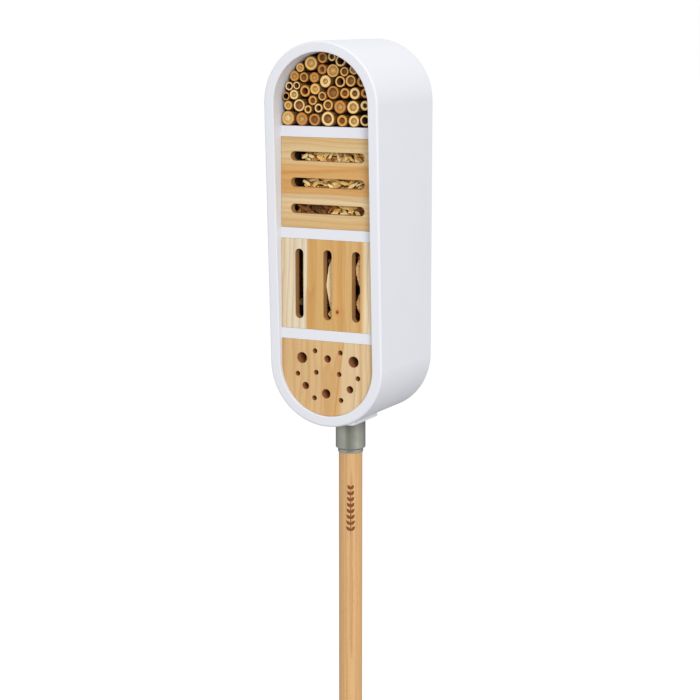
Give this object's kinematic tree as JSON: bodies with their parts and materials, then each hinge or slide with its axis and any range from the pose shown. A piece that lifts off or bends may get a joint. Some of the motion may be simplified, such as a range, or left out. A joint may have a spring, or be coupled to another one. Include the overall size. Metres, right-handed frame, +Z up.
{
  "type": "insect hotel",
  "caption": "Tall round-ended insect hotel with bamboo tubes, slotted boards and a drilled nest block in a white band, carried by a metal sleeve on a wooden stake with a ground spike.",
  "frame": {"origin": "on the stake's axis at the ground line, where the spike enters the soil", "axes": "+Z up along the stake, -Y out of the hotel's open front, +X to the right seen from the front"},
  "size_m": [0.14, 0.1474, 1.191],
  "materials": {
    "white_lacquer": "white satin lacquer over bent wood",
    "white_plastic": "moulded, satin",
    "pine": "planed, unfinished",
    "bamboo": "sawn cane",
    "bark": "rough bark",
    "shaving": "torn, raw",
    "zinc_steel": "zinc plated",
    "satin_sleeve": "satin, grey",
    "black_plastic": "moulded",
    "natural_nylon": "turned",
    "stake_wood": "sanded and oiled",
    "galvanised_steel": "hot-dip galvanised"
  },
  "bodies": {
    "stake": {"stake_pole": "stake_wood", "pole_cap": "zinc_steel", "cap_screw": "zinc_steel", "spike_socket": "galvanised_steel", "socket_screws": "zinc_steel", "foot_bar": "galvanised_steel", "ground_spike": "galvanised_steel"},
    "turning_ring": {"wear_ring": "natural_nylon"},
    "hotel": {"housing": "white_lacquer", "back_panel": "pine", "back_panel_screws": "zinc_steel", "shelf_lower": "white_lacquer", "shelf_middle": "white_lacquer", "shelf_upper": "white_lacquer", "bamboo_row_1": "bamboo", "bamboo_row_2": "bamboo", "bamboo_row_3": "bamboo", "bamboo_row_4": "bamboo", "bamboo_row_5": "bamboo", "bamboo_row_6": "bamboo", "board_wide_slots": "pine", "bark_chips": "bark", "board_tall_slots": "pine", "wood_shavings": "shaving", "nest_block": "pine", "saddle_plate": "white_plastic", "saddle_screws": "zinc_steel", "sleeve": "satin_sleeve", "sleeve_liner": "black_plastic", "sleeve_bolt": "zinc_steel", "bolt_washer": "zinc_steel", "tee_nut": "zinc_steel"}
  },
  "joints": [
    {"name": "hotel_turn", "type": "hinge", "parent": "stake", "child": "turning_ring", "pos_m": [0, 0, 0.5855], "axis": [0, 0, 1], "continuous": true},
    {"name": "hotel_lift", "type": "slide", "parent": "turning_ring", "child": "hotel", "axis": [0, 0, 1], "range_m": [0, 0.06]}
  ]
}
